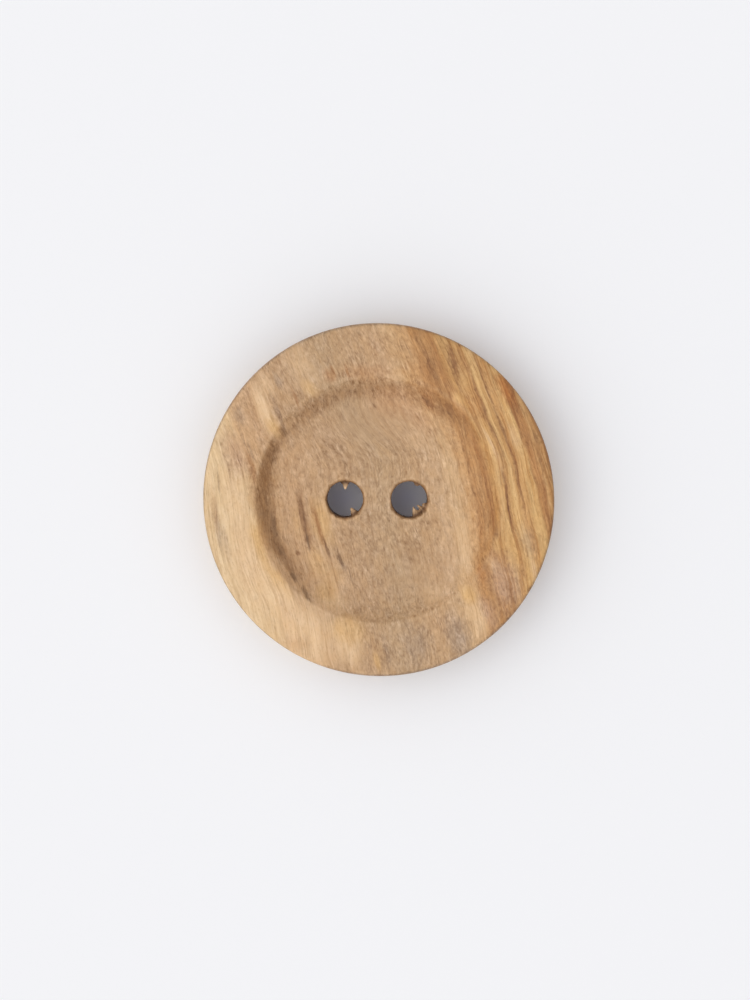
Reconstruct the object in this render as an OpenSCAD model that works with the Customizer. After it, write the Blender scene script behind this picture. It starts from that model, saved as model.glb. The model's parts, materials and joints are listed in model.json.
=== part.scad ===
// Two-hole sewing button, turned from one piece of streaked hardwood.
// A crowned rim stands round a shallow coved well, and the back is flat with a rounded edge.
// The face looks up along +Z, the back rests on Z = 0, and the two holes lie on the X axis.

/* [Button] */
// Diameter over the rim
diameter = 25; // [18:0.5:34]
// Height from the back to the crest of the rim
thickness = 4.5; // [3.6:0.1:7]

/* [Rim] */
// Width of the rim, from the outer edge to the shoulder
rim_width = 3.6; // [2.5:0.1:6]
// Height of the rim's crest above its two edges
rim_crown = 0.15; // [0.05:0.01:0.4]
// Radius that eases the outer edge of the rim
edge_radius = 0.35; // [0.1:0.05:0.8]
// Radius of the shoulder, where the rim turns down into the well
shoulder_radius = 0.45; // [0.2:0.05:0.9]

/* [Well] */
// Depth of the well's floor below the crest of the rim
well_depth = 1.15; // [0.7:0.05:1.6]
// Radius of the cove between the floor and the shoulder
cove_radius = 3.5; // [1.5:0.1:4]

/* [Back] */
// Radius that rounds the edge of the back
back_radius = 1.6; // [0.4:0.1:2.4]

/* [Holes] */
// Diameter of each thread hole
hole_diameter = 2.6; // [1.5:0.1:3.2]
// Distance between the centres of the two holes
hole_pitch = 4.6; // [3.8:0.1:6]
// Width of the broken edge at both ends of a hole
hole_chamfer = 0.1; // [0.05:0.05:0.3]

/* [Hidden] */
wood_colour = "#c2a075";
// Largest gap between a turned curve and the straight steps that draw it
arc_gap = 0.002;
// How far a cutting tool reaches past the face it cuts
overcut = 1;
$fn = 96;

outer_radius = diameter / 2;

// The rim's crown is one arc, as wide as the rim and as high as its crest
crown_radius = (pow(rim_width / 2, 2) + pow(rim_crown, 2)) / (2 * rim_crown);
crown_centre = [outer_radius - rim_width / 2, thickness - crown_radius];

// Each easing arc of the rim touches the crown from inside, at a known distance from the axis
function under_crown(x, radius) =
    [x, crown_centre.y + sqrt(pow(crown_radius - radius, 2) - pow(x - crown_centre.x, 2))];
edge_centre = under_crown(outer_radius - edge_radius, edge_radius);
shoulder_centre = under_crown(outer_radius - rim_width, shoulder_radius);

// The cove lies on the floor of the well and touches the shoulder from outside
floor_height = thickness - well_depth;
cove_rise = floor_height + cove_radius - shoulder_centre.y;
cove_reach = sqrt(pow(cove_radius + shoulder_radius, 2) - pow(cove_rise, 2));
cove_centre = [shoulder_centre.x - cove_reach, floor_height + cove_radius];

back_centre = [outer_radius - back_radius, back_radius];

// Direction from one point to another, in degrees from the X axis
function heading(from, to) = atan2(to.y - from.y, to.x - from.x);
edge_turn = heading(crown_centre, edge_centre);
shoulder_turn = heading(crown_centre, shoulder_centre);
cove_turn = heading(shoulder_centre, cove_centre);

// Points along an arc, with as many steps as keep it within arc_gap of the true curve
function arc(centre, radius, start, end) =
    let (steps = ceil(abs(end - start) / (2 * acos(1 - arc_gap / radius))))
    [for (i = [0:steps])
        let (a = start + (end - start) * i / steps)
        centre + radius * [cos(a), sin(a)]];

// Half of the button's section, from the middle of the back round the rim to the middle of the well
module section() {
    polygon(concat(
        [[0, 0]],
        arc(back_centre, back_radius, -90, 0),
        arc(edge_centre, edge_radius, 0, edge_turn),
        arc(crown_centre, crown_radius, edge_turn, shoulder_turn),
        arc(shoulder_centre, shoulder_radius, shoulder_turn, cove_turn),
        arc(cove_centre, cove_radius, cove_turn - 180, -90),
        [[0, floor_height]]));
}

// A drilled hole on Z, with its edge broken at the floor of the well and at the back
module thread_hole() {
    flare = hole_chamfer + overcut;
    translate([0, 0, -overcut])
        cylinder(d = hole_diameter, h = floor_height + 2 * overcut);
    translate([0, 0, floor_height - hole_chamfer])
        cylinder(d1 = hole_diameter, d2 = hole_diameter + 2 * flare, h = flare);
    translate([0, 0, -overcut])
        cylinder(d1 = hole_diameter + 2 * flare, d2 = hole_diameter, h = flare);
}

module button() {
    color(wood_colour)
        difference() {
            rotate_extrude() section();
            for (side = [-1, 1])
                translate([side * hole_pitch / 2, 0, 0]) thread_hole();
        }
}

button();
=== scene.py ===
# Turned two-hole button in olive wood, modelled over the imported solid.
# Lengths in the dictionaries are in millimetres, the meshes are in metres.
import json
import math

import bmesh
import bpy
import numpy as np
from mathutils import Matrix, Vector


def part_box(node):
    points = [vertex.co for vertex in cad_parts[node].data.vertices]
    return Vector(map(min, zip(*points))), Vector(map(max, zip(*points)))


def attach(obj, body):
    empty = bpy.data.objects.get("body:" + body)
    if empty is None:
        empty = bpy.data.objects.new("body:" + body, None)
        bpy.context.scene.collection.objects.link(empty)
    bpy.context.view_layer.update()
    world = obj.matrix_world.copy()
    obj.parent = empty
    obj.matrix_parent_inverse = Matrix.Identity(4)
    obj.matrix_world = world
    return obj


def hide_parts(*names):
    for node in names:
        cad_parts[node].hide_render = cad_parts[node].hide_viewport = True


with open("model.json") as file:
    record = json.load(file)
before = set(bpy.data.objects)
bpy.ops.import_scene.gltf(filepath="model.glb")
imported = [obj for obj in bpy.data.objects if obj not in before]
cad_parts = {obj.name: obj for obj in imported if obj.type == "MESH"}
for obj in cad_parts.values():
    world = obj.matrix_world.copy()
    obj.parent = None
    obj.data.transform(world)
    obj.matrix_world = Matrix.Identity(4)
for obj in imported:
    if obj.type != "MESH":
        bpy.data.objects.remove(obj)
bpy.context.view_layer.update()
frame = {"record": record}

mm = 0.001
lowCorner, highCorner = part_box("button")
holeMounts = [mount for mount in frame["record"]["mounts"] if mount["kind"] == "bore"]

# the turned section: sizes over all come from the frame, the rest repeat the CAD section
button = {
    "radius": (highCorner.x - lowCorner.x) / 2 / mm,
    "thickness": (highCorner.z - lowCorner.z) / mm,
    "rimWidth": 3.6,
    "rimCrown": 0.15,
    "edgeRadius": 0.35,
    "shoulderRadius": 0.45,
    "wellDepth": 1.15,
    "coveRadius": 3.5,
    "backRadius": 1.6,
    "flatRadius": 5.8,       # the revolved part ends here, and the drilled floor begins
    "aroundSteps": 360,
    "coveSteps": 20,         # points on each arc and straight of the section
    "shoulderSteps": 12,
    "crownSteps": 20,
    "edgeSteps": 10,
    "sideSteps": 11,
    "backSteps": 14,
    "underSteps": 16,
    "dividerSteps": 80,      # along the seam between the two drilled halves
    "floorRings": 22,
    "backRings": 10,
    "mergeGap": 1e-4,        # points closer than this are one
    "shrinkage": 0.0055,     # dried wood is this much narrower across the grain and longer along it
    "shrinkLean": 28,        # degrees, lean of the long axis from Y, top to the left
    "wellShift": -0.12,      # the well and its holes sit this far off the middle, along X
}

# the two drilled holes: broken edge, chips in it and fibres that the drill tore loose
holes = {
    "radius": holeMounts[0]["dims"]["r_mm"],
    "pitch": 2 * abs(holeMounts[0]["pos_m"][0]) / mm,
    "chamfer": 0.1,
    "wallSteps": 44,
    "crowding": 0.7,         # below 1 the rings of faces lie closer together near the hole
    "endCrowding": 0.06,     # and above 0 the rows on the wall near its ends
    "seeds": {"left": 11, "right": 23},
    "edgeWaver": 0.06,       # how far the rim of a hole wanders
    "edgeWaves": 26,         # and in how many waves at most
    "wallWaver": 0.02,
    "wallWaves": 40,
    "wallTwist": 0.4,        # radians that the wall's waves turn for each mm down
    "chips": {               # angle round the hole, half width in degrees, how far it bites
        "left": [(138, 8, 0.14), (180, 6, 0.07), (222, 9, 0.08), (248, 5, 0.06), (272, 7, 0.10),
                 (316, 7, 0.13), (345, 6, 0.07), (20, 8, 0.08), (62, 6, 0.06), (105, 6, 0.07)],
        "right": [(40, 8, 0.10), (80, 6, 0.06), (130, 7, 0.08), (205, 8, 0.09), (228, 5, 0.06),
                  (250, 7, 0.11), (287, 8, 0.10), (308, 6, 0.09), (330, 8, 0.10), (358, 6, 0.08)],
    },
    "chipDepth": 1.6,        # a chip goes down this many times as far as it bites out
    "splinterSlant": 0.3,    # how far a splinter slants, as a share of its half height
    "splinters": {           # angle, depth below the floor, reach into the hole, half width, half height
        "left": [(88, 0.75, 0.60, 0.25, 0.22), (304, 0.80, 0.54, 0.24, 0.28), (98, 1.9, 0.25, 0.2, 0.3),
                 (296, 1.3, 0.26, 0.14, 0.3)],
        "right": [(293, 0.90, 0.48, 0.24, 0.25), (340, 0.55, 0.30, 0.20, 0.40), (325, 0.85, 0.36, 0.15, 0.45),
                  (312, 1.15, 0.30, 0.50, 0.45), (64, 0.5, 0.18, 0.22, 0.2)],
    },
}


def arcPoints(centre, radius, start, end, count):
    # points on a circle about the centre, at even angles from start to end, in degrees
    angle = np.radians(np.linspace(start, end, count))
    return np.column_stack((centre[0] + radius * np.cos(angle), centre[1] + radius * np.sin(angle)))


def turnedSection():
    # the section from the edge of the drilled floor, up the cove, over the shoulder and the crown,
    # round the outer edge, down the side and in along the back: tangent arcs, each touching the next
    b = button
    top = b["thickness"]
    crownRadius = ((b["rimWidth"] / 2) ** 2 + b["rimCrown"] ** 2) / (2 * b["rimCrown"])
    crown = (b["radius"] - b["rimWidth"] / 2, top - crownRadius)

    def underCrown(x, radius):
        # centre of an arc that touches the crown from inside, at the distance x from the axis
        return x, crown[1] + math.sqrt((crownRadius - radius) ** 2 - (x - crown[0]) ** 2)

    def heading(start, end):
        # direction from one point to another, in degrees
        return math.degrees(math.atan2(end[1] - start[1], end[0] - start[0]))

    edge = underCrown(b["radius"] - b["edgeRadius"], b["edgeRadius"])
    shoulder = underCrown(b["radius"] - b["rimWidth"], b["shoulderRadius"])
    floorHeight = top - b["wellDepth"]
    rise = floorHeight + b["coveRadius"] - shoulder[1]
    reach = math.sqrt((b["coveRadius"] + b["shoulderRadius"]) ** 2 - rise ** 2)
    cove = (shoulder[0] - reach, floorHeight + b["coveRadius"])
    back = (b["radius"] - b["backRadius"], b["backRadius"])
    edgeTurn = heading(crown, edge)
    shoulderTurn = heading(crown, shoulder)
    coveTurn = heading(shoulder, cove)
    side = np.linspace(edge[1], back[1], b["sideSteps"])[1:-1]
    under = np.linspace(back[0], b["flatRadius"], b["underSteps"])[1:]
    arcs = [
        np.array([[b["flatRadius"], floorHeight]]),
        arcPoints(cove, b["coveRadius"], -90, coveTurn - 180, b["coveSteps"]),
        arcPoints(shoulder, b["shoulderRadius"], coveTurn, shoulderTurn, b["shoulderSteps"])[1:],
        arcPoints(crown, crownRadius, shoulderTurn, edgeTurn, b["crownSteps"])[1:],
        arcPoints(edge, b["edgeRadius"], edgeTurn, 0, b["edgeSteps"])[1:],
        np.column_stack((np.full(len(side), b["radius"]), side)),
        arcPoints(back, b["backRadius"], 0, -90, b["backSteps"]),
        np.column_stack((under, np.zeros(len(under)))),
    ]
    return np.concatenate(arcs), floorHeight


section, floorHeight = turnedSection()
widestIndex = int(np.argmax(section[:, 0]))


def faceHeight(distance):
    # height of the face at a distance from the axis
    return float(np.interp(distance, section[:widestIndex, 0], section[:widestIndex, 1]))


def ringQuads(rows, columns):
    # corner numbers of the quads in a grid of points, whose rows are closed rings
    ring = np.arange(columns)
    first = np.arange(rows - 1)[:, None] * columns
    here = first + ring
    beside = first + (ring + 1) % columns
    return np.stack((here, beside, beside + columns, here + columns), axis=-1).reshape(-1, 4)


def revolved():
    # the section carried round the axis: (r cos a, r sin a, z)
    angle = np.radians(-90 + np.arange(button["aroundSteps"]) * 360 / button["aroundSteps"])
    radius = section[:, 0, None]
    height = np.broadcast_to(section[:, 1, None], (len(section), len(angle)))
    return np.stack((radius * np.cos(angle), radius * np.sin(angle), height), axis=-1)


def halfOutline(side):
    # one drilled half of the floor: half a circle, then back along the seam between the halves
    half = button["aroundSteps"] // 2
    angle = np.radians(np.linspace(-90, 90, half + 1))
    halfCircle = button["flatRadius"] * np.column_stack((np.cos(angle), np.sin(angle)))
    seam = np.linspace(1, -1, button["dividerSteps"] + 1)[1:-1, None] * [0, button["flatRadius"]]
    return np.concatenate((halfCircle, seam)) * [side, 1]


def waver(angle, seed, waves, size):
    # a closed ripple: sines of whole numbers of waves with seeded phases, weaker as they get shorter
    random = np.random.default_rng(seed)
    number = np.arange(2, waves)
    phase = random.uniform(0, 2 * math.pi, len(number))
    share = random.normal(0, 1, len(number)) / np.sqrt(number)
    return size * np.sum(share * np.sin(angle[..., None] * number + phase), axis=-1) / 2


def drilledHalf(side):
    # from the seam and the flat's edge straight in to the hole, down its wall and out again on the back
    name = "left" if side < 0 else "right"
    centre = np.array([side * holes["pitch"] / 2, 0])
    outline = halfOutline(side)
    out = outline - centre
    angle = np.arctan2(out[:, 1], out[:, 0])
    direction = np.column_stack((np.cos(angle), np.sin(angle)))
    chips = np.array(holes["chips"][name])
    turn = (np.degrees(angle)[:, None] - chips[:, 0] + 180) % 360 - 180
    bite = np.sum(chips[:, 2] * np.exp(-(turn / chips[:, 1]) ** 2), axis=1)
    seed = holes["seeds"][name]
    bore = holes["radius"]
    flared = bore + holes["chamfer"]
    mouth = flared + bite + waver(angle, seed, holes["edgeWaves"], holes["edgeWaver"])
    backMouth = flared + waver(angle, seed + 1, holes["edgeWaves"], holes["edgeWaver"])

    def ringsTo(mouthRadius, height, rings):
        # rings that run in from the outline to the mouth of the hole, closer together near it
        share = np.linspace(0, 1, rings)[:, None, None] ** holes["crowding"]
        edge = centre + direction * mouthRadius[:, None]
        flat = outline * (1 - share) + edge * share
        return np.concatenate((flat, np.full(flat.shape[:2] + (1,), height)), axis=-1)

    # the wall: radius at each depth and angle, flared at both mouths and wavering
    down = np.linspace(0, 1, holes["wallSteps"])
    depth = floorHeight * (down - holes["endCrowding"] * np.sin(2 * math.pi * down))[:, None]
    bitten = np.clip(1 - depth / (holes["chamfer"] + bite * holes["chipDepth"]), 0, 1)
    backFlare = np.clip(1 - (floorHeight - depth) / holes["chamfer"], 0, 1)
    rough = waver(angle + depth * holes["wallTwist"], seed + 2, holes["wallWaves"], holes["wallWaver"])
    rough = rough * np.sin(math.pi * down)[:, None]
    wall = bore + (mouth - bore) * bitten + (backMouth - bore) * backFlare + rough

    # blunt splinters: reach * exp(-(across / width)^4 - (along / height)^4), slanted to one side
    for turnTo, below, reach, halfWidth, halfHeight in holes["splinters"][name]:
        across = ((np.degrees(angle) - turnTo + 180) % 360 - 180) * math.radians(1) * bore
        slant = holes["splinterSlant"] * halfHeight * np.sin(across / halfWidth)
        along = depth - below - slant
        wall = wall - reach * np.exp(-(across / halfWidth) ** 4 - (along / halfHeight) ** 4)
    wallFlat = centre + direction * wall[..., None]
    height = np.broadcast_to(floorHeight - depth, wall.shape)[..., None]
    wallPoints = np.concatenate((wallFlat, height), axis=-1)
    face = ringsTo(mouth, floorHeight, button["floorRings"])
    back = ringsTo(backMouth, 0, button["backRings"])[::-1]
    return np.concatenate((face[:-1], wallPoints, back[1:]))


def offMiddle(points):
    # inside the shoulder all moves by the shift, on the rim less and less out to the edge
    edge = button["radius"]
    share = np.clip((edge - np.hypot(points[:, 0], points[:, 1])) / button["rimWidth"], 0, 1)
    return points + np.outer(share, [button["wellShift"], 0, 0])


def shrunk(points):
    # dried wood: a little longer along the grain and narrower across it
    lean = math.radians(button["shrinkLean"])
    along = np.array([-math.sin(lean), math.cos(lean)])
    across = np.array([math.cos(lean), math.sin(lean)])
    flat = points[:, :2]
    change = button["shrinkage"] * (np.outer(flat @ along, along) - np.outer(flat @ across, across))
    return np.column_stack((flat + change, points[:, 2]))


def makeButton():
    # the turned rim and the two drilled halves, joined where they meet into one closed skin
    allPoints = []
    allQuads = []
    start = 0
    for points in (revolved(), drilledHalf(-1), drilledHalf(1)):
        rows, columns = points.shape[:2]
        allQuads.append(ringQuads(rows, columns) + start)
        allPoints.append(points.reshape(-1, 3))
        start += rows * columns
    points = shrunk(offMiddle(np.concatenate(allPoints))) * mm
    quads = np.concatenate(allQuads)
    mesh = bpy.data.meshes.new("woodenButton")
    mesh.from_pydata(points.tolist(), [], quads.tolist())
    shape = bmesh.new()
    shape.from_mesh(mesh)
    bmesh.ops.remove_doubles(shape, verts=shape.verts, dist=button["mergeGap"] * mm)
    bmesh.ops.recalc_face_normals(shape, faces=shape.faces)
    shape.to_mesh(mesh)
    openEdges = sum(1 for edge in shape.edges if not edge.is_manifold)
    shape.free()
    mesh.polygons.foreach_set("use_smooth", np.ones(len(mesh.polygons), dtype=bool))
    piece = bpy.data.objects.new("woodenButton", mesh)
    bpy.context.scene.collection.objects.link(piece)
    print("button:", len(mesh.vertices), "points,", 2 * len(mesh.polygons), "triangles")
    print("open edges:", openEdges)
    return piece


def linear(hexColour):
    # an sRGB hex colour as linear light
    channels = [int(hexColour[i:i + 2], 16) / 255 for i in (1, 3, 5)]
    return [c / 12.92 if c <= 0.04045 else ((c + 0.055) / 1.055) ** 2.4 for c in channels] + [1.0]


def addNode(tree, kind, settings, inputs):
    # one node: its settings, and its inputs, each a value or the output that feeds it
    node = tree.nodes.new("ShaderNode" + kind)
    for name, value in settings.items():
        setattr(node, name, value)
    for socket, value in inputs.items():
        if isinstance(value, bpy.types.NodeSocket):
            tree.links.new(value, node.inputs[socket])
        else:
            node.inputs[socket].default_value = value
    return node.outputs


# olive wood, turned, sanded and lightly waxed: pale sapwood to the left, tan heartwood in the middle
# and brown growth stripes to the right, with dark veins, fine flecks along the grain and almost no shine
wood = {
    "meanSlope": 0.30,       # the grain leans this far left for each mm up, on average
    "bendSlope": 0.10,       # and this much more above the bend, this much less below it
    "bendMiddle": 3.0,
    "bendLength": 2.0,
    "swirls": [              # where the grain leans more: place, size across and up, and how far it shifts
        (-0.3, 4.4, 3.2, 2.6, 1.3),
        (-8.5, -6.0, 4.0, 4.5, 0.7),
    ],
    "calm": [                # where the fibres are weaker: place, half sizes, how much
        (0.0, 5.6, 4.4, 2.3, 0.45),
        (3.2, -5.2, 3.4, 2.4, 0.3),
    ],
    "calmHeight": 3.0,
    "calmEdge": 0.6,         # how far in a calm place is fully calm, as a share of its size
    "longFibres": [          # where heartwood has long fibres: from none to full across, then up, and share
        (5.0, 7.0, -5.0, -1.0, 0.85),
        (-3.9, -5.1, 2.0, -1.0, 0.8),
    ],
    "layerTilt": 0.75,       # how far a growth layer moves to the right for each mm down
    "wavers": [              # how the layers waver: size across, along and deep, and reach
        (7.0, 14.0, 5.0, 0.4),
        (1.6, 3.2, 1.2, 0.17),
        (0.9, 6.0, 1.2, 0.20),
        (0.22, 1.8, 0.6, 0.15),
    ],
    "tones": {               # fine patterns: size across, along and deep
        "fleck": (0.12, 0.34, 0.25),     # real flecks are half as wide, drawn coarser so that they show
        "clump": (0.30, 0.70, 0.5),
        "thread": (0.12, 2.6, 0.4),
        "bundle": (0.45, 6.0, 0.8),
        "line": (0.16, 4.0, 0.5),
        "stripe": (0.24, 9.0, 1.5),
        "mottle": (0.55, 1.0, 0.6),
        "pore": (0.10, 0.30, 0.2),       # real pores are 0.05 to 0.1 mm wide
    },
    "toneDetail": 2.0,
    "toneRoughness": 0.6,
    "heartShares": {"fleck": 0.43, "clump": 0.30, "thread": 0.15, "bundle": 0.12},
    "sapShares": {"fleck": 0.18, "clump": 0.12, "thread": 0.45, "bundle": 0.25},
    "heartRange": (0.58, 0.25),      # brightness of pure sapwood and of pure heartwood
    "sapContrast": 0.48,             # how strong the fibres are in sapwood, as a share
    "longRange": (0.38, 0.52),       # brightness over which the fibres grow long
    "toneDepth": 0.55,               # how far the fine patterns darken and lighten the heartwood
    "toneColour": (0.82, 1, 1.27),   # the same for red, green and blue, as a share
    "mottleRange": (0.35, 0.65),     # where the mottle is faint and strong
    "toneLow": (0.26, 0.38),         # and the darkest tone there
    "toneHigh": (0.74, 0.62),        # and the lightest
    "warmRange": (0.3, 0.7),
    "warmTint": (1.03, 1.0, 0.93, 1),
    "coolTint": (0.97, 1.0, 1.07, 1),
    "poreRange": (0.52, 0.72),
    "poreTint": (0.80, 0.74, 0.66, 1),
    "darkLines": {           # pattern: its range, layers from and to, strength before them, tint
        "line": ((0.55, 0.68), (3.0, 7.0), 0.5, (0.84, 0.77, 0.68, 1)),
        "stripe": ((0.5, 0.62), (6.3, 7.3), 0.0, (0.82, 0.73, 0.62, 1)),
    },
    "oilTint": (0.97, 0.965, 0.925, 1),     # a thin coat of oil and wax warms and darkens it all
    "roughness": (0.5, 0.68),
    "ior": 1.5,
    "bumpDepth": 0.02,
    "bumpStrength": 0.5,
    "veinDepth": 2.0,        # half height of a vein
    "veinEdge": 0.85,        # how far in a vein has its full strength
    "markEdge": 0.8,
    "veinFray": (-2.0, 2.0),         # how the flecks fray a vein: slope and offset
    "markFray": (-0.75, 1.375),      # and a mark
    "layers": [              # place on the rim along X, and the colour of the layer there
        (-13.0, "#dfbe95"), (-10.5, "#e2c299"), (-9.2, "#dcb98d"), (-8.5, "#cfa67d"), (-7.0, "#c79f79"),
        (-5.0, "#c49e79"), (-3.0, "#bf9a76"), (-0.6, "#bd9b78"), (2.0, "#c29c76"), (3.6, "#cba681"),
        (4.7, "#d3ac81"), (5.7, "#c89b6c"), (6.2, "#b78553"), (6.8, "#bd8d5b"), (7.4, "#b27f4d"),
        (8.0, "#c6975f"), (8.5, "#d3a770"), (8.9, "#cfa066"), (9.1, "#ba8955"), (9.4, "#d8ac73"),
        (9.8, "#daaf78"), (10.2, "#c4935d"), (10.5, "#cd9c64"), (10.8, "#d6aa71"), (11.2, "#d6aa70"),
        (11.5, "#b88450"), (11.8, "#bb8653"), (12.2, "#c89a66"), (13.0, "#b07b49"),
    ],
}

woodColours = {
    "sapwood": "#e9c49b", "honey": "#dfb278", "grey": "#ab9079", "violet": "#7d5f4a", "cocoa": "#8c5c34",
    "brown": "#a36f40", "rust": "#b06f35", "umber": "#6a4a30", "rose": "#c49c7e", "shade": "#93683f",
    "burnt": "#6c4d38", "dry": "#c8bfb2",
}

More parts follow.
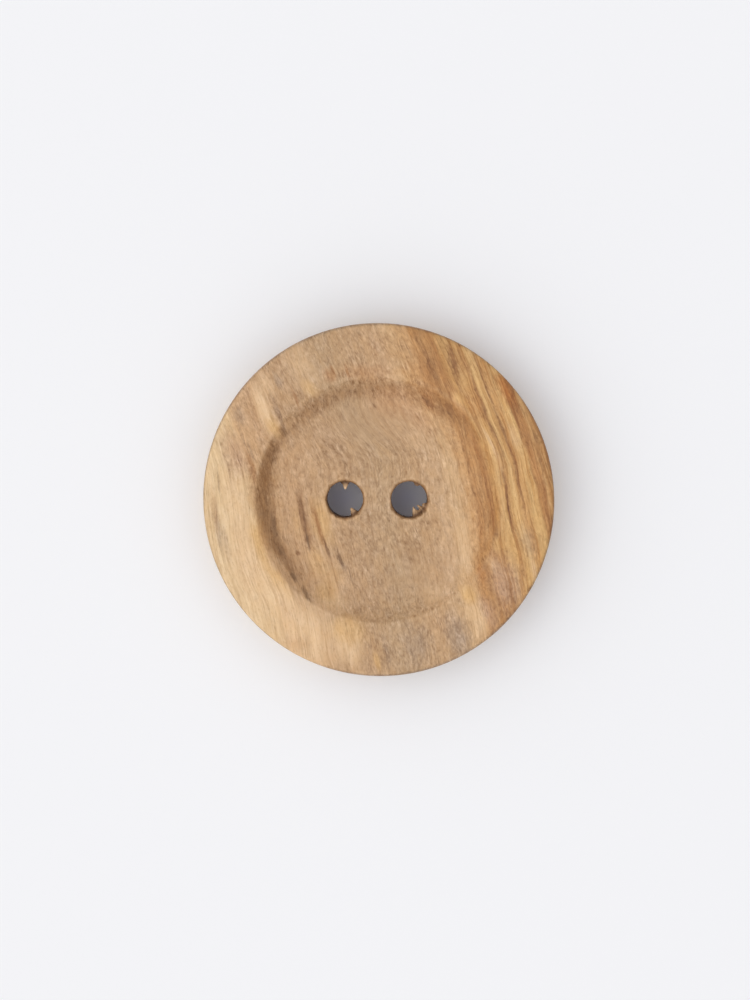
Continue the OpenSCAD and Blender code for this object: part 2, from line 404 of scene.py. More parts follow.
# veins and patches: colour, place on the face, half width across the grain, half length along it,
# strength and, where it leaves the grain, how many degrees further left its top leans
veins = {
    "sapLower": ("sapwood", -8.9, -4.6, 2.2, 6.0, 0.9, 0),
    "sapBottom": ("sapwood", -5.2, -9.6, 3.2, 4.2, 0.9, 0),
    "sapFootMiddle": ("sapwood", -2.2, -10.4, 1.4, 2.2, 0.8, 0),
    "sapLeft": ("sapwood", -10.2, 0.2, 1.4, 4.2, 0.7, 0),
    "sapUpper": ("sapwood", -8.3, 6.5, 0.8, 2.8, 0.85, 0),
    "sapTop": ("sapwood", -5.4, 9.3, 1.7, 2.8, 0.45, 0),
    "sapRight": ("sapwood", 6.1, -3.4, 0.8, 4.2, 0.6, 0),
    "sapRightUpper": ("sapwood", 5.6, 1.6, 0.7, 2.2, 0.3, 0),
    "sapWellFoot": ("sapwood", 3.9, -6.6, 1.3, 1.1, 0.3, 0),
    "sapFoot": ("sapwood", 7.1, -8.3, 1.0, 2.2, 0.7, 0),
    "honeyShoulder": ("honey", -8.5, -3.0, 0.8, 2.6, 0.85, 2),
    "honeyShoulderLow": ("honey", -7.1, -5.9, 0.8, 2.0, 0.85, 15),
    "sapShoulderLow": ("sapwood", -6.6, -6.8, 0.8, 2.2, 0.7, 15),
    "sapShoulderFoot": ("sapwood", -2.8, -9.0, 1.4, 0.9, 0.5, 0),
    "sapWallLow": ("sapwood", -3.2, -7.4, 1.4, 1.0, 0.42, 0),
    "honeyWellLow": ("honey", -3.4, -5.4, 1.2, 1.4, 0.28, 0),
    "honeyWellLeft": ("honey", -4.5, -4.4, 1.0, 1.8, 0.42, 0),
    "honeyWallLow": ("honey", -3.8, -6.6, 1.1, 1.2, 0.48, 0),
    "sapRimTop": ("sapwood", -8.2, 8.1, 0.8, 1.4, 0.5, 0),
    "honeyUpper": ("honey", -7.6, 5.2, 0.6, 1.2, 0.7, 0),
    "honeyTop": ("honey", 2.2, 8.8, 1.0, 0.8, 0.4, 0),
    "rustTop": ("rust", 2.4, 8.9, 1.4, 1.1, 0.3, 0),
    "rustTopLeft": ("rust", -0.8, 9.0, 3.0, 1.0, 0.28, 0),
    "honeyTopLeft": ("honey", -4.9, 7.9, 0.9, 0.9, 0.5, 0),
    "honeyFoot": ("honey", -2.2, -9.2, 1.8, 1.6, 0.65, 0),
    "honeySpot": ("honey", 6.4, -6.7, 0.9, 1.0, 0.8, 0),
    "honeyLine": ("honey", 5.3, 7.2, 0.4, 0.7, 0.7, 10),
    "honeyRight": ("honey", 8.4, -3.2, 0.4, 0.9, 0.6, 0),
    "wallVein": ("umber", -7.4, -2.1, 0.26, 2.0, 0.55, 5),
    "wallVeinHalo": ("brown", -6.3, -4.7, 0.6, 2.4, 0.15, 13),
    "wallVeinMiddle": ("umber", -6.55, -4.5, 0.3, 2.1, 0.38, 13),
    "wallVeinDot": ("umber", -6.95, -3.55, 0.24, 0.7, 0.48, 12),
    "wallVeinSpot": ("umber", -6.0, -5.5, 0.28, 0.7, 0.6, 18),
    "wallVeinEnd": ("umber", -5.1, -6.65, 0.28, 0.9, 0.65, 22),
    "honeyWell": ("honey", -4.1, -1.6, 1.1, 2.6, 0.62, 0),
    "honeyWellSide": ("honey", -5.9, -1.7, 0.5, 1.8, 0.3, 0),
    "paleWellLeft": ("sapwood", -3.9, 1.0, 0.7, 1.0, 0.2, 0),
    "wellVein": ("umber", -5.5, -1.1, 0.3, 2.6, 0.75, 0),
    "wellVeinHalo": ("brown", -5.35, -1.6, 0.55, 3.2, 0.35, 0),
    "wellVeinTail": ("umber", -5.1, -2.9, 0.2, 1.2, 0.7, 0),
    "brownVein": ("brown", -4.3, -2.0, 0.3, 2.4, 0.8, 6),
    "brownTail": ("umber", -3.75, -3.5, 0.2, 1.0, 0.5, 6),
    "brownDot": ("cocoa", -5.85, -3.8, 0.18, 0.28, 0.6, 0),
    "shortVein": ("umber", -2.85, -4.3, 0.24, 1.2, 0.7, 8),
    "faintVein": ("umber", -2.2, -5.4, 0.16, 0.9, 0.4, 4),
    "greyRim": ("grey", -11.2, -2.1, 0.38, 2.8, 0.56, 0),
    "greyRimInner": ("grey", -10.65, -3.0, 0.25, 2.0, 0.4, 2),
    "roseRim": ("rose", -10.2, 3.3, 1.3, 2.6, 0.75, 0),
    "rimLineUpper": ("violet", -9.6, 4.3, 0.13, 1.6, 0.45, 0),
    "rimLineInner": ("violet", -9.1, 3.4, 0.12, 1.2, 0.4, 0),
    "rimLineMiddle": ("cocoa", -9.9, 2.5, 0.12, 1.8, 0.4, 0),
    "rimLineOuter": ("cocoa", -10.7, 2.3, 0.13, 2.0, 0.4, 0),
    "rimLineEdge": ("violet", -11.3, 1.2, 0.13, 1.8, 0.4, 0),
    "greyRimTop": ("grey", -9.9, 6.0, 0.7, 1.1, 0.5, 0),
    "greyCorner": ("grey", -7.2, 8.5, 0.5, 1.0, 0.6, 0),
    "violetCorner": ("violet", -7.35, 6.3, 0.3, 2.1, 0.52, 2),
    "cornerBlot": ("umber", -6.75, 4.85, 0.5, 0.5, 0.5, 0),
    "cornerLine": ("brown", -6.0, 7.2, 0.18, 1.1, 0.6, 0),
    "shoulderLine": ("brown", -9.05, 2.1, 0.35, 1.6, 0.7, 0),
    "shoulderTan": ("brown", -8.9, 0.2, 0.8, 1.8, 0.38, 0),
    "edgeTanLeft": ("brown", -11.6, -0.6, 0.5, 2.4, 0.3, 0),
    "edgeTanLow": ("brown", -5.9, -10.2, 1.4, 0.9, 0.25, 0),
    "shoulderRust": ("rust", -8.1, -2.8, 0.4, 2.2, 0.25, 4),
    "topFleck": ("rust", -3.5, 8.8, 0.7, 0.8, 0.35, 0),
    "topDash": ("brown", -2.2, 9.1, 0.18, 0.8, 0.7, 0),
    "topDashLeft": ("brown", -3.3, 9.2, 0.16, 0.6, 0.6, 0),
    "blot": ("rust", 3.4, 7.0, 0.5, 0.8, 0.6, 0),
    "blotCore": ("umber", 3.4, 7.0, 0.36, 0.55, 0.85, 0),
    "blotShade": ("brown", 3.5, 7.5, 0.8, 1.1, 0.5, 0),
    "blotRight": ("cocoa", 4.8, 6.5, 0.4, 0.7, 0.65, 0),
    "topDot": ("umber", -0.15, 6.7, 0.16, 0.28, 0.5, 20),
    "rustSpot": ("rust", 9.05, 7.6, 0.85, 1.6, 0.9, 0),
    "rustEdge": ("cocoa", 9.6, 6.4, 0.4, 1.2, 0.6, 0),
    "orangeEdge": ("rust", 8.6, 8.3, 0.8, 1.1, 0.5, 0),
    "brownTop": ("cocoa", 5.1, 9.8, 0.34, 2.1, 0.85, -4),
    "brownTopThin": ("cocoa", 3.2, 10.0, 0.22, 1.8, 0.5, -4),
    "brownTopLeft": ("brown", 3.5, 9.5, 0.8, 1.5, 0.44, 0),
    "topTan": ("brown", 0.5, 10.8, 2.0, 2.0, 0.25, 0),
    "topEdgeBrown": ("brown", 5.5, 9.8, 1.1, 1.8, 0.42, 0),
    "topWallBrown": ("brown", 3.0, 8.1, 1.8, 1.0, 0.4, 0),
    "topWallTan": ("rust", 1.3, 7.1, 2.8, 1.8, 0.26, 0),
    "topWellTan": ("rust", 3.2, 5.6, 1.4, 1.6, 0.22, 0),
    "topWellEdge": ("brown", 3.9, 6.4, 0.9, 0.9, 0.3, 0),
    "rustRim": ("rust", 6.6, 6.8, 0.9, 2.0, 0.38, 0),
    "paleRight": ("sapwood", 9.6, 4.5, 0.6, 1.4, 0.45, 0),
    # the next three paint a thin highlight along the crest of the shoulder, where it catches the light
    "paleShoulder": ("honey", 8.72, 0.6, 0.18, 2.6, 0.45, -6),
    "paleShoulderTop": ("sapwood", 7.9, 3.6, 0.2, 2.3, 0.65, 7),
    "paleShoulderLow": ("honey", 9.3, -2.1, 0.25, 1.2, 0.6, 0),
    "paleWallTop": ("honey", 7.3, 4.1, 0.4, 1.1, 0.45, 8),
    "lineTopLeft": ("cocoa", 5.2, 8.7, 0.15, 2.4, 0.6, 0),
    "lineTop": ("cocoa", 6.8, 7.7, 0.17, 2.6, 0.65, 0),
    "lineTopRight": ("cocoa", 7.35, 8.3, 0.2, 2.8, 0.65, 0),
    "lineMiddle": ("cocoa", 8.1, 4.5, 0.13, 2.6, 0.65, 4),
    "lineMiddleRight": ("cocoa", 8.8, 4.6, 0.17, 2.8, 0.65, 4),
    "lineOuter": ("cocoa", 9.6, 5.9, 0.15, 2.2, 0.6, 4),
    "lineEdge": ("cocoa", 11.45, 3.4, 0.2, 2.8, 0.5, -4),
    "lineEdgeLow": ("brown", 11.85, 0.6, 0.2, 2.2, 0.55, -8),
    "thinRight": ("cocoa", 9.02, 0.2, 0.14, 3.2, 0.75, 0),
    "wideRight": ("cocoa", 9.9, 1.4, 0.18, 4.0, 0.42, 0),
    "paleRightLow": ("honey", 10.4, 2.6, 0.45, 1.8, 0.75, 0),
    "thinRightTop": ("brown", 10.1, 4.5, 0.13, 1.6, 0.7, 0),
    "rustFoot": ("rust", 7.4, -5.2, 0.45, 1.4, 0.4, 0),
    "paleWallFoot": ("sapwood", 8.3, -4.7, 0.5, 1.0, 0.5, 0),
    "roseWallFoot": ("rose", 7.6, -7.5, 0.8, 1.3, 0.4, 0),
    "wallBrown": ("brown", 7.2, -1.9, 0.45, 1.6, 0.3, 0),
    "wallLine": ("brown", 8.4, -0.1, 0.3, 1.3, 0.4, 0),
    "roseFoot": ("rose", 9.1, -6.0, 1.6, 3.0, 0.8, 0),
    "roseFootLow": ("rose", 8.0, -8.2, 0.9, 1.6, 0.5, 0),
    "roseEdge": ("grey", 10.5, -2.9, 0.9, 1.8, 0.4, 0),
    "paleFootLine": ("honey", 10.35, -6.1, 0.22, 0.9, 0.8, 0),
    "paleFootEdge": ("sapwood", 10.95, -5.0, 0.25, 1.2, 0.7, 0),
    "greyFootLine": ("violet", 0.5, -10.8, 0.3, 1.8, 0.45, 0),
    "greyFoot": ("grey", 2.6, -10.3, 1.4, 2.2, 0.6, 0),
    "footTan": ("brown", 4.9, -9.0, 1.6, 1.5, 0.2, 0),
    "edgeTanFoot": ("shade", 0.0, -11.0, 1.0, 1.4, 0.16, 0),
    "greyFootRight": ("grey", 5.7, -9.7, 1.3, 2.2, 0.75, 0),
    "dullWell": ("shade", 2.1, -3.6, 1.3, 1.7, 0.25, 0),
    "dullRight": ("shade", 3.9, -1.1, 0.8, 1.3, 0.16, 0),
    "honeyFootLine": ("honey", -0.2, -11.4, 0.35, 1.0, 0.6, 0),
}

# marks that run round the turning axis or round a hole: which, colour, distance from it, height,
# reach out, reach up, strength and, where it doesn't run all round, the direction of its middle
# and how far it runs from there, in degrees
marks = {
    # the first three paint shade into the well's wall, on the left, at the lower left and at the top, where
    # the cove turns away from the light
    "darkWall": ("axis", "shade", 8.28, 3.95, 0.72, 1.3, 0.82, (177, 41)),
    "darkCorner": ("axis", "shade", 7.75, 3.7, 0.8, 1.3, 0.48, (195, 40)),
    "dimWall": ("axis", "shade", 7.95, 3.75, 0.9, 1.3, 0.5, (90, 68)),
    # painted highlight all round the crest of the shoulder, where it catches the light
    "rubbedShoulder": ("axis", "sapwood", 8.84, 4.33, 0.2, 0.4, 0.12, None),
    # painted shade along the outer edge, where it rounds over and turns down away from the light
    "darkEdge": ("axis", "umber", 12.5, 4.15, 0.22, 0.4, 0.45, None),
    # the side painted pale grey, not the wood's own colour, so that it throws less warm light back onto the
    # floor beside it
    "drySide": ("axis", "dry", 12.5, 1.8, 0.3, 3.0, 0.7, None),
    # darker brown down the walls of the holes, in part painted shade where the roots of the splinters lie in
    # shadow
    "burntWall": ("hole", "burnt", 1.24, 1.6, 0.2, 9.0, 0.85, None),
    "paleFibres": ("hole", "sapwood", 0.72, 2.6, 0.32, 1.6, 0.8, None),
    "tornMouth": ("hole", "shade", 1.36, 3.2, 0.2, 0.9, 0.45, None),
    "paleMouth": ("hole", "sapwood", 1.5, 3.35, 0.14, 0.5, 0.2, None),
}


def grainShift(y):
    # how far the bent grain moves from X = 0 by the height y: a mean slope and a smooth bend, log cosh
    bend = wood["bendSlope"] * wood["bendLength"]
    rise = math.log(math.cosh((y - wood["bendMiddle"]) / wood["bendLength"]))
    return wood["meanSlope"] * y + bend * rise


def swirlShift(x, y):
    # how far the swirls move the grain at a place: shift * v * exp(-u^2 - v^2),
    # where u and v count sizes from the middle of a swirl
    total = 0
    for swirlX, swirlY, sizeX, sizeY, shift in wood["swirls"]:
        u, v = (x - swirlX) / sizeX, (y - swirlY) / sizeY
        total += shift * v * math.exp(-u * u - v * v)
    return total


def oliveWood():
    material = bpy.data.materials.new("oliveWood")
    material.use_nodes = True
    tree = material.node_tree
    tree.nodes.clear()

    # place in the wood, in millimetres
    place = addNode(tree, "TexCoord", {}, {})["Object"]
    place = addNode(tree, "Mapping", {}, {"Vector": place, "Scale": (1 / mm,) * 3})[0]
    x, y, z = addNode(tree, "SeparateXYZ", {}, {0: place})

    # across the grain: X, moved by the slope and the bend of the grain, so that a grain line has one value
    length, middle = wood["bendLength"], wood["bendMiddle"]
    bendReach = wood["bendSlope"] * length
    bend = addNode(tree, "Math", {"operation": "MULTIPLY_ADD"}, {0: y, 1: 1 / length, 2: -middle / length})[0]
    bend = addNode(tree, "Math", {"operation": "COSH"}, {0: bend})[0]
    bend = addNode(tree, "Math", {"operation": "LOGARITHM"}, {0: bend, 1: math.e})[0]
    across = addNode(tree, "Math", {"operation": "MULTIPLY_ADD"}, {0: bend, 1: bendReach, 2: x})[0]
    across = addNode(tree, "Math", {"operation": "MULTIPLY_ADD"}, {0: y, 1: wood["meanSlope"], 2: across})[0]
    across = addNode(tree, "Math", {"operation": "SUBTRACT"}, {0: across, 1: grainShift(0)})[0]

    for swirlX, swirlY, sizeX, sizeY, shift in wood["swirls"]:
        flat = addNode(tree, "CombineXYZ", {}, {0: x, 1: y})[0]
        inputs = {"Vector": flat, "Location": (swirlX, swirlY, 0), "Scale": (sizeX, sizeY, 1)}
        local = addNode(tree, "Mapping", {"vector_type": "TEXTURE"}, inputs)[0]
        square = addNode(tree, "VectorMath", {"operation": "DOT_PRODUCT"}, {0: local, 1: local})["Value"]
        fade = addNode(tree, "Math", {"operation": "MULTIPLY"}, {0: square, 1: -1.0})[0]
        fade = addNode(tree, "Math", {"operation": "EXPONENT"}, {0: fade})[0]
        up = addNode(tree, "SeparateXYZ", {}, {0: local})[1]
        fade = addNode(tree, "Math", {"operation": "MULTIPLY"}, {0: fade, 1: up})[0]
        across = addNode(tree, "Math", {"operation": "MULTIPLY_ADD"}, {0: fade, 1: shift, 2: across})[0]

    # the layers waver slowly, quickly and finely; the last frays the edges of the veins
    for sizeX, sizeY, sizeZ, reach in wood["wavers"]:
        along = addNode(tree, "CombineXYZ", {}, {0: across, 1: y, 2: z})[0]
        inputs = {"Vector": along, "Scale": (1 / sizeX, 1 / sizeY, 1 / sizeZ)}
        scaled = addNode(tree, "Mapping", {}, inputs)[0]
        inputs = {"Vector": scaled, "Scale": 1.0, "Detail": wood["toneDetail"]}
        noise = addNode(tree, "TexNoise", {}, inputs)[0]
        across = addNode(tree, "Math", {"operation": "MULTIPLY_ADD"}, {0: noise, 1: 2 * reach, 2: across})[0]
        across = addNode(tree, "Math", {"operation": "SUBTRACT"}, {0: across, 1: reach})[0]
    grain = addNode(tree, "CombineXYZ", {}, {0: across, 1: y, 2: z})[0]
    deep = addNode(tree, "Math", {"operation": "SUBTRACT"}, {0: z, 1: button["thickness"]})[0]
    inputs = {0: deep, 1: wood["layerTilt"], 2: across}
    layer = addNode(tree, "Math", {"operation": "MULTIPLY_ADD"}, inputs)[0]

    # the fine patterns, each a noise drawn out along the grain
    tones = {}
    for key, sizes in wood["tones"].items():
        inputs = {"Vector": grain, "Scale": tuple(1 / size for size in sizes)}
        scaled = addNode(tree, "Mapping", {}, inputs)[0]
        inputs = {"Vector": scaled, "Scale": 1.0, "Detail": wood["toneDetail"],
                  "Roughness": wood["toneRoughness"]}
        tones[key] = addNode(tree, "TexNoise", {}, inputs)[0]
    for total in ("heart", "sap"):
        tones[total] = 0.0
        for key, share in wood[total + "Shares"].items():
            inputs = {0: tones[key], 1: share, 2: tones[total]}
            tones[total] = addNode(tree, "Math", {"operation": "MULTIPLY_ADD"}, inputs)[0]

    # growth layers: a colour for each place across the grain
    first, last = wood["layers"][0][0], wood["layers"][-1][0]
    spread = addNode(tree, "MapRange", {"clamp": False}, {0: layer, 1: first, 2: last, 3: 0.0, 4: 1.0})[0]
    colour = addNode(tree, "ValToRGB", {}, {0: spread})[0]
    stops = colour.node.color_ramp.elements
    while len(stops) < len(wood["layers"]):
        stops.new(0.5)
    for stop, (spot, hexColour) in zip(stops, wood["layers"]):
        stop.position = (spot - first) / (last - first)
        stop.color = linear(hexColour)

    # a smooth step ends by itself, so it needs no clamp, and clamps make the shader too big for so many veins
    smooth = {"interpolation_type": "SMOOTHSTEP"}
    unclamped = {"interpolation_type": "SMOOTHSTEP", "clamp": False}
    frays = {}
    for key in ("veinFray", "markFray"):
        inputs = {0: tones["heart"], 1: wood[key][0], 2: wood[key][1]}
        frays[key] = addNode(tree, "Math", {"operation": "MULTIPLY_ADD"}, inputs)[0]

    # marks round the axis and round the nearer hole, by the distance from it and the height
    fromHole = addNode(tree, "Math", {"operation": "SUBTRACT"}, {0: x, 1: button["wellShift"]})[0]
    fromHole = addNode(tree, "Math", {"operation": "ABSOLUTE"}, {0: fromHole})[0]
    fromHole = addNode(tree, "Math", {"operation": "SUBTRACT"}, {0: fromHole, 1: holes["pitch"] / 2})[0]
    rounds = {}
    for key, side in (("axis", x), ("hole", fromHole)):
        flat = addNode(tree, "CombineXYZ", {}, {0: side, 1: y})[0]
        distance = addNode(tree, "VectorMath", {"operation": "LENGTH"}, {0: flat})["Value"]
        rounds[key] = addNode(tree, "CombineXYZ", {}, {0: distance, 2: z})[0]
    flat = addNode(tree, "CombineXYZ", {}, {0: x, 1: y})[0]
    outwards = addNode(tree, "VectorMath", {"operation": "NORMALIZE"}, {0: flat})[0]
    for key, colourName, distance, height, reachOut, reachUp, strength, stretch in marks.values():
        inputs = {"Vector": rounds[key], "Location": (distance, 0, height), "Scale": (reachOut, 1, reachUp)}
        local = addNode(tree, "Mapping", {"vector_type": "TEXTURE"}, inputs)[0]
        inside = addNode(tree, "TexGradient", {"gradient_type": "SPHERICAL"}, {"Vector": local})[1]
        inside = addNode(tree, "Math", {"operation": "MULTIPLY"}, {0: inside, 1: frays["markFray"]})[0]
        if stretch:      # full strength over the middle third of its run
            turn, runs = (math.radians(a) for a in stretch)
            inputs = {0: outwards, 1: (math.cos(turn), math.sin(turn), 0)}
            facing = addNode(tree, "VectorMath", {"operation": "DOT_PRODUCT"}, inputs)["Value"]
            inputs = {0: facing, 1: math.cos(runs), 2: math.cos(runs / 3), 3: 0.0, 4: 1.0}
            facing = addNode(tree, "MapRange", unclamped, inputs)[0]
            inside = addNode(tree, "Math", {"operation": "MULTIPLY"}, {0: inside, 1: facing})[0]
        inputs = {0: inside, 1: 0.0, 2: wood["markEdge"], 3: 0.0, 4: strength}
        share = addNode(tree, "MapRange", unclamped, inputs)[0]
        inputs = {0: share, 6: colour, 7: linear(woodColours[colourName])}
        colour = addNode(tree, "Mix", {"data_type": "RGBA"}, inputs)[2]

    # veins and patches: long ellipsoids along the grain, strongest in the middle, frayed by the fibres
    for colourName, veinX, veinY, halfWidth, halfLength, strength, turn in veins.values():
        shifted = veinX + grainShift(veinY) - grainShift(0) + swirlShift(veinX, veinY)
        spot = (shifted, veinY, faceHeight(math.hypot(veinX, veinY)))
        inputs = {"Vector": grain, "Location": spot, "Rotation": (0, 0, math.radians(turn)),
                  "Scale": (halfWidth, halfLength, wood["veinDepth"])}
        local = addNode(tree, "Mapping", {"vector_type": "TEXTURE"}, inputs)[0]
        inside = addNode(tree, "TexGradient", {"gradient_type": "SPHERICAL"}, {"Vector": local})[1]
        inside = addNode(tree, "Math", {"operation": "MULTIPLY"}, {0: inside, 1: frays["veinFray"]})[0]
        inputs = {0: inside, 1: 0.0, 2: wood["veinEdge"], 3: 0.0, 4: strength}
        share = addNode(tree, "MapRange", unclamped, inputs)[0]
        inputs = {0: share, 6: colour, 7: linear(woodColours[colourName])}
        colour = addNode(tree, "Mix", {"data_type": "RGBA"}, inputs)[2]

    # fibres darken and lighten the heartwood more than the sapwood, blue the most and red the least
    brightness = addNode(tree, "RGBToBW", {}, {0: colour})[0]
    start, end = wood["heartRange"]
    inputs = {0: brightness, 1: start, 2: end, 3: wood["sapContrast"], 4: 1.0}
    heart = addNode(tree, "MapRange", {}, inputs)[0]
    for calmX, calmY, halfX, halfY, weaker in wood["calm"]:
        inputs = {"Vector": place, "Location": (calmX, calmY, floorHeight),
                  "Scale": (halfX, halfY, wood["calmHeight"])}
        local = addNode(tree, "Mapping", {"vector_type": "TEXTURE"}, inputs)[0]
        inside = addNode(tree, "TexGradient", {"gradient_type": "SPHERICAL"}, {"Vector": local})[1]
        inputs = {0: inside, 1: 0.0, 2: wood["calmEdge"], 3: 1.0, 4: 1 - weaker}
        calm = addNode(tree, "MapRange", smooth, inputs)[0]
        heart = addNode(tree, "Math", {"operation": "MULTIPLY"}, {0: heart, 1: calm})[0]

    # sapwood has long fibres, heartwood short flecks, apart from where its fibres are long too
    start, end = wood["longRange"]
    sapShare = addNode(tree, "MapRange", {}, {0: brightness, 1: start, 2: end, 3: 0.0, 4: 1.0})[0]
    for fromX, toX, fromY, toY, share in wood["longFibres"]:
        beside = addNode(tree, "MapRange", {}, {0: layer, 1: fromX, 2: toX, 3: 0.0, 4: share})[0]
        upOrDown = addNode(tree, "MapRange", {}, {0: y, 1: fromY, 2: toY, 3: 0.0, 4: 1.0})[0]
        both = addNode(tree, "Math", {"operation": "MULTIPLY"}, {0: beside, 1: upOrDown})[0]
        sapShare = addNode(tree, "Math", {"operation": "MAXIMUM"}, {0: sapShare, 1: both})[0]
    inputs = {0: sapShare, 2: tones["heart"], 3: tones["sap"]}
    tone = addNode(tree, "Mix", {"data_type": "FLOAT"}, inputs)[0]
    ends = []
    for key in ("toneLow", "toneHigh"):
        (start, end), (faint, strong) = wood["mottleRange"], wood[key]
        inputs = {0: tones["mottle"], 1: start, 2: end, 3: faint, 4: strong}
        ends.append(addNode(tree, "MapRange", {}, inputs)[0])
    tone = addNode(tree, "MapRange", {}, {0: tone, 1: ends[0], 2: ends[1], 3: 0.0, 4: 1.0})[0]
    depths = [wood["toneDepth"] * share for share in wood["toneColour"]]
    darker = [1 - depth for depth in depths] + [1]
    lighter = [1 + depth for depth in depths] + [1]
    start, end = wood["warmRange"]
    warm = addNode(tree, "MapRange", {}, {0: tones["mottle"], 1: start, 2: end, 3: 0.0, 4: 1.0})[0]
    multiply = {"data_type": "RGBA", "blend_type": "MULTIPLY"}
    for by, one, other in ((tone, darker, lighter), (warm, wood["warmTint"], wood["coolTint"])):
        tint = addNode(tree, "Mix", {"data_type": "RGBA"}, {0: by, 6: one, 7: other})[2]
        colour = addNode(tree, "Mix", multiply, {0: heart, 6: colour, 7: tint})[2]

    # dark pores in the heartwood, and dark lines in the striped layers
    start, end = wood["poreRange"]
    pore = addNode(tree, "MapRange", smooth, {0: tones["pore"], 1: start, 2: end, 3: 0.0, 4: 1.0})[0]
    share = addNode(tree, "Math", {"operation": "MULTIPLY"}, {0: pore, 1: heart})[0]
    colour = addNode(tree, "Mix", multiply, {0: share, 6: colour, 7: wood["poreTint"]})[2]
    for key, ((start, end), (fromLayer, toLayer), least, tint) in wood["darkLines"].items():
        line = addNode(tree, "MapRange", smooth, {0: tones[key], 1: start, 2: end, 3: 0.0, 4: 1.0})[0]
        inputs = {0: layer, 1: fromLayer, 2: toLayer, 3: least, 4: 1.0}
        striped = addNode(tree, "MapRange", {}, inputs)[0]
        share = addNode(tree, "Math", {"operation": "MULTIPLY"}, {0: line, 1: striped})[0]
        colour = addNode(tree, "Mix", multiply, {0: share, 6: colour, 7: tint})[2]
    colour = addNode(tree, "Mix", multiply, {0: 1.0, 6: colour, 7: wood["oilTint"]})[2]

    # dark fibres and pores lie a little deeper, and light fibres are a little rougher
    low, high = wood["roughness"]
    rough = addNode(tree, "MapRange", {}, {0: tone, 1: 0.0, 2: 1.0, 3: low, 4: high})[0]
    relief = addNode(tree, "Math", {"operation": "SUBTRACT"}, {0: tone, 1: pore})[0]
    inputs = {"Height": relief, "Strength": wood["bumpStrength"], "Distance": wood["bumpDepth"] * mm}
    bump = addNode(tree, "Bump", {}, inputs)[0]
    inputs = {"Base Color": colour, "Roughness": rough, "Normal": bump, "IOR": wood["ior"]}
    shader = addNode(tree, "BsdfPrincipled", {}, inputs)[0]
    addNode(tree, "OutputMaterial", {}, {0: shader})
    print("olive wood:", len(tree.nodes), "nodes,", len(veins), "veins")
    return material


stage = {
    "floorColour": "#f5f5f7",    # matt white card
    "floorSide": 3.0,            # metres
    "floorRoughness": 0.95,
    "floorShine": 0.1,
    "floorGrain": 0.4,           # size of its faint tooth
    "floorBump": 0.01,
    "floorBumpStrength": 0.05,
    "lampFrom": (-0.55, 0.0, 1.0),
    "lampSide": 0.9,
    "lampLevel": 0.12,           # share of full light that the lamp gives to a level white card
    "roomLevel": 1.01,           # the rest comes from the bright room
    "roomSlope": (-0.27, -0.16, 0.8),     # it gets brighter to the left, to the picture's foot and upwards
    "roomColour": "#fffefb",
    "ceilingColour": "#97a2c0",  # straight above, where the camera and a dim ceiling are
    "ceilingRange": (0.88, 0.97),    # how steeply one looks up where it begins and where it is full
    "backdropLevel": 0.9,        # what the camera sees past the floor
}


def mattCard():
    # matt white card: even, with a faint tooth and almost no shine
    material = bpy.data.materials.new("mattCard")
    material.use_nodes = True
    tree = material.node_tree
    tree.nodes.clear()
    place = addNode(tree, "TexCoord", {}, {})["Object"]
    inputs = {"Vector": place, "Scale": 1 / (stage["floorGrain"] * mm), "Detail": 2.0}
    noise = addNode(tree, "TexNoise", {}, inputs)[0]
    inputs = {"Height": noise, "Strength": stage["floorBumpStrength"], "Distance": stage["floorBump"] * mm}
    bump = addNode(tree, "Bump", {}, inputs)[0]
    inputs = {"Base Color": linear(stage["floorColour"]), "Roughness": stage["floorRoughness"],
              "Specular IOR Level": stage["floorShine"], "Normal": bump}
    shader = addNode(tree, "BsdfPrincipled", {}, inputs)[0]
    addNode(tree, "OutputMaterial", {}, {0: shader})
    return material


def makeFloor():
    # a level square under the button
    half = stage["floorSide"] / 2
    corners = [(-half, -half, 0), (half, -half, 0), (half, half, 0), (-half, half, 0)]
    mesh = bpy.data.meshes.new("floor")
    mesh.from_pydata(corners, [], [(0, 1, 2, 3)])
    mesh.materials.append(mattCard())
    floor = bpy.data.objects.new("floor", mesh)
    bpy.context.scene.collection.objects.link(floor)
    print("floor:", stage["floorSide"], "m of matt card")


def makeLamp():
    # a square softbox that looks at the button; its power gives a level card there its share of full light
    place = Vector(stage["lampFrom"])
    lamp = bpy.data.lights.new("softbox", "AREA")
    lamp.shape = "SQUARE"
    lamp.size = stage["lampSide"]
    lamp.energy = stage["lampLevel"] * math.pi ** 2 * place.length ** 3 / place.z
    holder = bpy.data.objects.new("softbox", lamp)
    holder.location = place
    holder.rotation_euler = (-place).to_track_quat("-Z", "Y").to_euler()
    bpy.context.scene.collection.objects.link(holder)
    print("softbox:", round(lamp.energy, 2), "W,", round(place.length, 2), "m away")


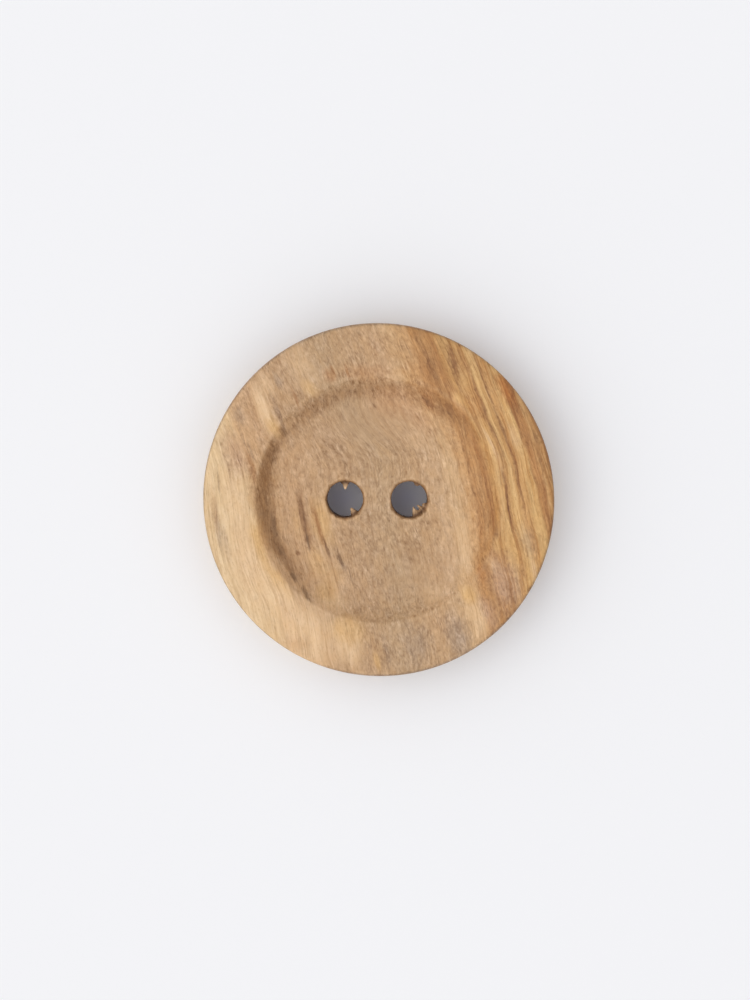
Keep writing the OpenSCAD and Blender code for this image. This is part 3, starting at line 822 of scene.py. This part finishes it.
def makeRoom():
    # a pale room: level * (1 + slope . direction), evened so that a level card gets just that level,
    # darker straight above; where the camera sees past the floor it is plain
    world = bpy.data.worlds.new("paleRoom")
    world.use_nodes = True
    tree = world.node_tree
    tree.nodes.clear()
    level, slope = stage["roomLevel"], stage["roomSlope"]
    towards = addNode(tree, "TexCoord", {}, {})["Generated"]
    leaning = addNode(tree, "VectorMath", {"operation": "DOT_PRODUCT"}, {0: towards, 1: slope})["Value"]
    inputs = {0: leaning, 1: level, 2: level * (1 - slope[2] * 2 / 3)}
    light = addNode(tree, "Math", {"operation": "MULTIPLY_ADD"}, inputs)[0]
    up = addNode(tree, "SeparateXYZ", {}, {0: towards})[2]
    start, end = stage["ceilingRange"]
    inputs = {0: up, 1: start, 2: end, 3: 0.0, 4: 1.0}
    ceiling = addNode(tree, "MapRange", {"interpolation_type": "SMOOTHSTEP"}, inputs)[0]
    inputs = {0: ceiling, 6: linear(stage["roomColour"]), 7: linear(stage["ceilingColour"])}
    colour = addNode(tree, "Mix", {"data_type": "RGBA"}, inputs)[2]
    seen = addNode(tree, "LightPath", {}, {})["Is Camera Ray"]
    inputs = {0: seen, 2: light, 3: stage["backdropLevel"]}
    light = addNode(tree, "Mix", {"data_type": "FLOAT"}, inputs)[0]
    room = addNode(tree, "Background", {}, {"Color": colour, "Strength": light})[0]
    addNode(tree, "OutputWorld", {}, {0: room})
    bpy.context.scene.world = world
    print("room: level", level)


camera = {
    "lens": 100.0,
    "sensor": 36.0,              # mm along the long side of the picture
    "pictureHeight": 1000,       # pixels of the photograph, which is 750 wide
    "outlineWidth": 353.0,       # pixels across the button
    "outlineMiddle": (378.8, 500.2),
    "pictureMiddle": (375, 500),
    "tilt": 2.0,                 # degrees from straight down, towards the top of the picture
    "nearest": 0.01,             # metres, nothing closer is drawn
}


def makeCamera():
    # as far off as makes the button as wide as in the photograph, looking down on the rim
    pixel = 2 * button["radius"] * mm / camera["outlineWidth"]
    distance = pixel * camera["pictureHeight"] * camera["lens"] / camera["sensor"]
    across = (camera["pictureMiddle"][0] - camera["outlineMiddle"][0]) * pixel
    up = (camera["outlineMiddle"][1] - camera["pictureMiddle"][1]) * pixel
    tilt = math.radians(camera["tilt"])
    eye = bpy.data.cameras.new("camera")
    eye.lens = camera["lens"]
    eye.sensor_width = camera["sensor"]
    eye.clip_start = camera["nearest"]
    holder = bpy.data.objects.new("camera", eye)
    rimHeight = button["thickness"] * mm
    holder.location = (across, up + distance * math.sin(tilt), rimHeight + distance * math.cos(tilt))
    holder.rotation_euler = (-tilt, 0, 0)
    bpy.context.scene.collection.objects.link(holder)
    bpy.context.scene.camera = holder
    print("camera:", round(distance / mm), "mm above the rim")


makeCamera()
buttonPiece = makeButton()
buttonPiece.data.materials.append(oliveWood())
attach(buttonPiece, "root")
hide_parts("button")
makeFloor()
makeLamp()
makeRoom()
bpy.context.scene.view_settings.view_transform = "Standard"
